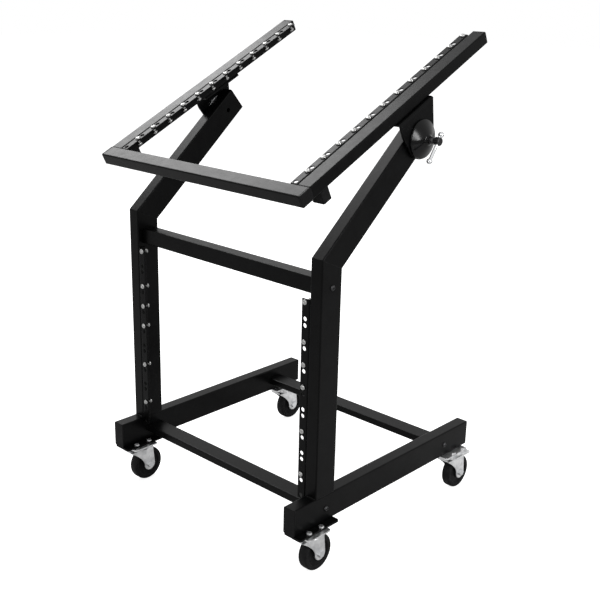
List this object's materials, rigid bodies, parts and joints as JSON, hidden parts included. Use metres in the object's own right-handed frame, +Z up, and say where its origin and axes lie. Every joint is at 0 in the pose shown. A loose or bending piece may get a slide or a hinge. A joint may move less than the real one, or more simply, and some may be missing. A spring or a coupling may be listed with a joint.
{
  "type": "equipment rack",
  "caption": "Rolling 19-inch rack: open caster base, uprights with a low rack face, and an upper rack frame that tilts on clamped pivots at the ends of leaning arms.",
  "frame": {"origin": "floor level under the middle of the bounding box, between the four casters", "axes": "+X to the rack's right as the user faces the rack faces from the front, +Y to the back, +Z up"},
  "size_m": [0.6452, 0.5784, 0.993],
  "materials": {
    "black_paint": "satin black powder coat",
    "black_plastic": "moulded black plastic",
    "gloss_black": "glossy black moulding",
    "rubber": "dark grey rubber",
    "zinc": "bright zinc plate",
    "chrome": "polished chrome"
  },
  "bodies": {
    "base": {"base_rail_left": "black_paint", "upright_left": "black_paint", "arm_left": "black_paint", "lower_rack_rail_left": "black_paint", "ratchet_left": "zinc", "base_rail_right": "black_paint", "upright_right": "black_paint", "arm_right": "black_paint", "lower_rack_rail_right": "black_paint", "ratchet_right": "zinc", "base_beam_front": "black_paint", "base_beam_rear": "black_paint", "cross_beam": "black_paint", "base_cap_front_left": "black_plastic", "mount_plate_front_left": "black_paint", "caster_plate_front_left": "zinc", "base_cap_front_right": "black_plastic", "mount_plate_front_right": "black_paint", "caster_plate_front_right": "zinc", "base_cap_rear_left": "black_plastic", "mount_plate_rear_left": "zinc", "caster_plate_rear_left": "zinc", "base_cap_rear_right": "black_plastic", "mount_plate_rear_right": "zinc", "caster_plate_rear_right": "zinc"},
    "tilt_frame": {"top_front_beam": "black_paint", "top_tube_left": "black_paint", "top_tube_cap_left": "black_plastic", "top_front_cap_left": "black_plastic", "upper_rack_rail_left": "black_paint", "tilt_bracket_left": "black_paint", "rubber_stop_left": "rubber", "clamp_cover_left": "gloss_black", "top_tube_right": "black_paint", "top_tube_cap_right": "black_plastic", "top_front_cap_right": "black_plastic", "upper_rack_rail_right": "black_paint", "tilt_bracket_right": "black_paint", "rubber_stop_right": "rubber", "clamp_cover_right": "gloss_black"},
    "clamp_right": {"clamp_screw_right": "chrome"},
    "bar_right": {"clamp_bar_right": "chrome"},
    "clamp_left": {"clamp_screw_left": "chrome"},
    "bar_left": {"clamp_bar_left": "chrome"},
    "fork_front_left": {"caster_fork_front_left": "zinc", "axle_front_left": "zinc"},
    "wheel_front_left": {"wheel_front_left": "rubber"},
    "fork_front_right": {"caster_fork_front_right": "zinc", "axle_front_right": "zinc"},
    "wheel_front_right": {"wheel_front_right": "rubber"},
    "fork_rear_left": {"caster_fork_rear_left": "zinc", "axle_rear_left": "zinc"},
    "wheel_rear_left": {"wheel_rear_left": "rubber"},
    "fork_rear_right": {"caster_fork_rear_right": "zinc", "axle_rear_right": "zinc"},
    "wheel_rear_right": {"wheel_rear_right": "rubber"}
  },
  "joints": [
    {"name": "frame_tilt", "type": "hinge", "parent": "base", "child": "tilt_frame", "pos_m": [0, 0.03119, 0.80618], "axis": [1, 0, 0], "range_deg": [-25.8, 15]},
    {"name": "clamp_right_turn", "type": "hinge", "parent": "base", "child": "clamp_right", "pos_m": [0.3171, 0.03119, 0.80618], "axis": [1, 0, 0], "range_deg": [0, 180]},
    {"name": "bar_right_slide", "type": "slide", "parent": "clamp_right", "child": "bar_right", "axis": [0, 0.5736, 0.8192], "range_m": [0, 0.0274]},
    {"name": "clamp_left_turn", "type": "hinge", "parent": "base", "child": "clamp_left", "pos_m": [-0.3171, 0.03119, 0.80618], "axis": [-1, 0, 0], "range_deg": [0, 180]},
    {"name": "bar_left_slide", "type": "slide", "parent": "clamp_left", "child": "bar_left", "axis": [0, 0.1045, 0.9945], "range_m": [0, 0.0274]},
    {"name": "swivel_front_left", "type": "hinge", "parent": "base", "child": "fork_front_left", "pos_m": [-0.25, -0.23825, 0.08], "axis": [0, 0, 1], "continuous": true},
    {"name": "roll_front_left", "type": "hinge", "parent": "fork_front_left", "child": "wheel_front_left", "pos_m": [-0.25, -0.21825, 0.0375], "axis": [1, 0, 0], "continuous": true},
    {"name": "swivel_front_right", "type": "hinge", "parent": "base", "child": "fork_front_right", "pos_m": [0.266, -0.23825, 0.08], "axis": [0, 0, 1], "continuous": true},
    {"name": "roll_front_right", "type": "hinge", "parent": "fork_front_right", "child": "wheel_front_right", "pos_m": [0.266, -0.21825, 0.0375], "axis": [1, 0, 0], "continuous": true},
    {"name": "swivel_rear_left", "type": "hinge", "parent": "base", "child": "fork_rear_left", "pos_m": [-0.25, 0.23175, 0.08], "axis": [0, 0, 1], "continuous": true},
    {"name": "roll_rear_left", "type": "hinge", "parent": "fork_rear_left", "child": "wheel_rear_left", "pos_m": [-0.25, 0.25175, 0.0375], "axis": [1, 0, 0], "continuous": true},
    {"name": "swivel_rear_right", "type": "hinge", "parent": "base", "child": "fork_rear_right", "pos_m": [0.266, 0.23175, 0.08], "axis": [0, 0, 1], "continuous": true},
    {"name": "roll_rear_right", "type": "hinge", "parent": "fork_rear_right", "child": "wheel_rear_right", "pos_m": [0.266, 0.25175, 0.0375], "axis": [1, 0, 0], "continuous": true}
  ]
}
